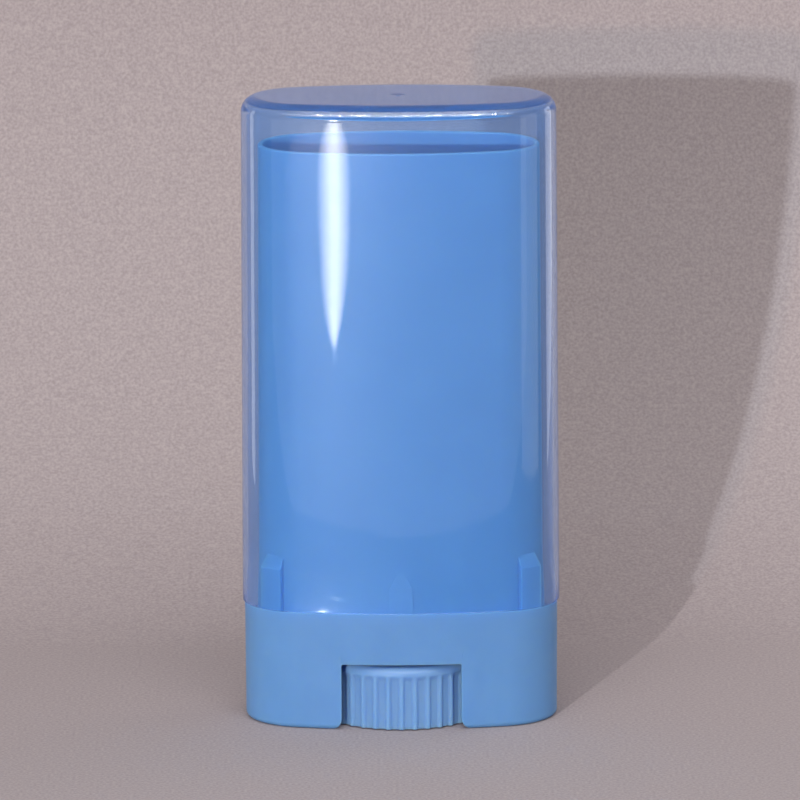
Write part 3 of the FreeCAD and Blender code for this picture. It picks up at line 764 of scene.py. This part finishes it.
@dataclass
class MouldedPart:
    """A moulding whose CAD shape is right, copied, with its outer edges softened."""

    name: str
    node: str
    body: str
    slot: Slot
    finish: MouldedPolypropylene
    edge_round: float = 0.15  # mm
    round_steps: int = 2
    crisp: float = 50.0  # degrees of fold from which an edge is rounded
    flat: float = 0.2  # degrees of fold up to which two facets are one
    merge: float = 0.001  # mm

    def make(self, nodes: dict[str, bpy.types.Object]) -> None:
        """Copies the CAD node's mesh, merges it, rounds it and sets it on its body.

        Args:
            nodes: The frame's CAD objects by name.
        """
        bm = bmesh.new()
        bm.from_mesh(nodes[self.node].data)
        bmesh.ops.remove_doubles(bm, verts=bm.verts, dist=self.merge * MM)
        bmesh.ops.scale(bm, vec=(1 / MM,) * 3, verts=bm.verts)
        flat, fold = math.radians(self.flat), math.radians(self.crisp)
        bmesh.ops.dissolve_limit(bm, angle_limit=flat, verts=bm.verts, edges=bm.edges)
        edges = [edge for edge in bm.edges if edge.calc_face_angle_signed(0.0) > fold]
        bmesh.ops.bevel(
            bm,
            geom=edges,
            offset=self.edge_round,
            offset_type="OFFSET",
            affect="EDGES",
            segments=self.round_steps,
            profile=0.5,
            material=-1,
            clamp_overlap=True,
        )
        piece = finish_mesh(bm, self.name)
        weight = piece.modifiers.new("face weights", "WEIGHTED_NORMAL")
        weight.keep_sharp = True
        weight.weight = 100
        set_piece(piece, self.finish.material(), self.body, self.node)


@dataclass(frozen=True)
class Lamp:
    """One soft box, placed round the dispenser and turned towards it.

    Angles are in degrees and sizes in mm. Azimuth runs from the front towards the left.
    """

    name: str
    azimuth: float
    rise: float  # height of its middle
    distance: float
    wide: float
    tall: float
    glow: float  # radiance of its face
    aim: float = 62.0  # height that it looks at
    face: LampFace = LampFace.ROUND
    gloss_only: bool = False
    layers: int = 1  # faces laid over each other, which fade it towards its sides
    core: float = 0.12  # width of the narrowest of them against the widest
    spacing: float = 2.0  # from each face to the next, as level ones hide each other

    def hang(self) -> None:
        """Hangs the lamp's face, or the stack of faces that softens its sides."""
        for layer in range(self.layers):
            self.hang_face(1 - (1 - self.core) * layer / self.layers, self.spacing * layer)

    def hang_face(self, share: float, forward: float) -> None:
        """Adds one face, which shows in gloss and never to the eye.

        Args:
            share: Its width as a share of the lamp's.
            forward: How far in mm it hangs in front of the lamp's place.
        """
        data = bpy.data.lights.new(self.name, "AREA")
        data.shape = self.face.value
        data.size = self.wide * share * MM
        data.size_y = self.tall * MM
        part = math.pi / 4 if self.face is LampFace.ROUND else 1.0
        data.energy = self.glow / self.layers * math.pi * part * data.size * data.size_y
        lamp = bpy.data.objects.new(self.name, data)
        turn = math.radians(self.azimuth)
        flat = Vector((-math.sin(turn), -math.cos(turn), 0)) * (self.distance - forward)
        lamp.location = (flat + UP * self.rise) * MM
        aim = UP * self.aim * MM - lamp.location
        lamp.rotation_mode = "QUATERNION"
        lamp.rotation_quaternion = aim.to_track_quat("-Z", "Y")
        lamp.visible_camera = False
        lamp.visible_transmission = False
        lamp.visible_diffuse = not self.gloss_only
        bpy.context.scene.collection.objects.link(lamp)


@dataclass
class Studio:
    """A pale paper sweep, soft boxes and a telephoto camera."""

    paper: str = "#b3a5a5"
    paper_deep: str = "#9c8f90"
    grain: float = 0.6  # mm; paper fibre is near 0.1 mm, drawn coarser so that it shows
    matt: float = 0.9
    paper_wide: float = 800.0
    floor_start: float = -4000.0
    floor_end: float = 55.0
    sweep_radius: float = 120.0
    sweep_steps: int = 24
    wall_height: float = 500.0
    sky_colour: str = "#f4f2f3"
    sky_strength: float = 0.4
    target: float = 62.75  # mm above the floor
    distance: float = 1800.0
    elevation: float = 11.78
    roll: float = -0.31
    lens: float = 415.4
    # Each lamp's azimuth, rise, distance, width, height and glow, then the height it looks at.
    lamps: tuple[Lamp, ...] = (
        Lamp("key_box", 16.7, 216.0, 1000.0, 15.0, 15.0, 11300.0),
        Lamp("top_box", 0.0, 1030.0, 520.0, 700.0, 500.0, 3.1, 0.0, LampFace.PANEL),
        Lamp("strip_box", 17.5, 49.0, 350.0, 54.0, 73.0, 25.0, gloss_only=True, layers=7),
        Lamp(
            "roof_bar", 2.0, 620.0, 500.0, 900.0, 8.0, 700.0, 62.0,
            face=LampFace.PANEL, gloss_only=True
        ),
        Lamp("right_card", -117.0, 100.0, 250.0, 88.0, 200.0, 2.0, 100.0, LampFace.PANEL),
        Lamp(
            "left_card", 107.0, 100.0, 250.0, 40.0, 200.0, 2.6, 100.0,
            face=LampFace.PANEL, gloss_only=True
        ),
        Lamp(
            "side_card", -70.0, 100.0, 260.0, 150.0, 200.0, 1.5, 100.0,
            face=LampFace.PANEL, gloss_only=True
        ),
        Lamp(
            "front_card", 0.0, 60.0, 195.0, 800.0, 120.0, 0.8, 60.0,
            face=LampFace.PANEL, gloss_only=True
        ),
    )

    def make(self) -> None:
        """Sets up the paper, the light and the camera."""
        self.hang_paper()
        self.light_sky()
        for lamp in self.lamps:
            lamp.hang()
        self.set_camera()

    def hang_paper(self) -> None:
        """A flat floor that curves up into a low wall behind, see-through from its back."""
        bm = bmesh.new()
        bend = fillet(self.sweep_radius, self.sweep_steps)
        section = [(self.floor_start, 0.0)]
        section += [(self.floor_end + back, rise) for rise, back in bend]
        section += [(self.floor_end + self.sweep_radius, self.sweep_radius + self.wall_height)]
        sides = (-self.paper_wide / 2, self.paper_wide / 2)
        skin(bm, [[bm.verts.new((side, back, rise)) for side in sides] for back, rise in section])
        sweep = finish_mesh(bm, "paper_sweep")
        sweep.data.materials.append(self.paper_material())

    def paper_material(self) -> bpy.types.Material:
        """Makes matt paper, which lets the eye through from behind.

        Returns:
            A new node material.
        """
        material, tree = new_tree("Matt paper, pale warm grey")
        share = noise(tree, self.grain, 0.0, 1.0)
        inputs = {0: share, 6: linear(self.paper_deep), 7: linear(self.paper)}
        colour = add_node(tree, "ShaderNodeMix", inputs, data_type="RGBA").outputs[2]
        inputs = {"Base Color": colour, "Roughness": self.matt}
        paper = add_node(tree, "ShaderNodeBsdfPrincipled", inputs).outputs[0]
        clear = add_node(tree, "ShaderNodeBsdfTransparent").outputs[0]
        behind = add_node(tree, "ShaderNodeNewGeometry").outputs["Backfacing"]
        surface = add_node(tree, "ShaderNodeMixShader", {0: behind, 1: paper, 2: clear})
        add_node(tree, "ShaderNodeOutputMaterial", {"Surface": surface.outputs[0]})
        return material

    def light_sky(self) -> None:
        """The even light of a white studio."""
        world = bpy.data.worlds.new("studio")
        world.use_nodes = True
        world.node_tree.nodes.clear()
        inputs = {"Color": linear(self.sky_colour), "Strength": self.sky_strength}
        sky = add_node(world.node_tree, "ShaderNodeBackground", inputs).outputs[0]
        add_node(world.node_tree, "ShaderNodeOutputWorld", {"Surface": sky})
        bpy.context.scene.world = world

    def set_camera(self) -> None:
        """Stands the camera in front, a little above, far off with a long lens."""
        data = bpy.data.cameras.new("telephoto")
        data.sensor_width = 36.0
        data.lens = self.lens
        camera = bpy.data.objects.new("telephoto", data)
        pitch = math.radians(self.elevation)
        back = Vector((0, -math.cos(pitch), math.sin(pitch)))
        camera.location = (UP * self.target + back * self.distance) * MM
        aim = (-back).to_track_quat("-Z", "Y").to_matrix().to_4x4()
        roll = Matrix.Rotation(math.radians(self.roll), 4, "Z")
        camera.rotation_euler = (aim @ roll).to_euler()
        bpy.context.scene.collection.objects.link(camera)
        bpy.context.scene.camera = camera
        bpy.context.scene.view_settings.view_transform = "Standard"
        bpy.context.scene.cycles.max_bounces = 24  # light is led far along the clear walls
        bpy.context.scene.cycles.glossy_bounces = 12


def main() -> None:
    """Builds the pieces round the frame and lights them."""
    logging.basicConfig(level=logging.INFO, format="%(relativeCreated)d ms %(name)s: %(message)s")
    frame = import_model()
    nodes = frame["nodes"]
    ClearCap().make()
    ScrewDial().make()
    MouldedPart("barrel_moulding", "barrel", "barrel", Slot.BARREL, BARREL_FINISH).make(nodes)
    MouldedPart("lifting_platform", "platform", "platform", Slot.PLATFORM, LIFT_FINISH).make(nodes)
    Studio().make()


if __name__ == "__main__":
    main()
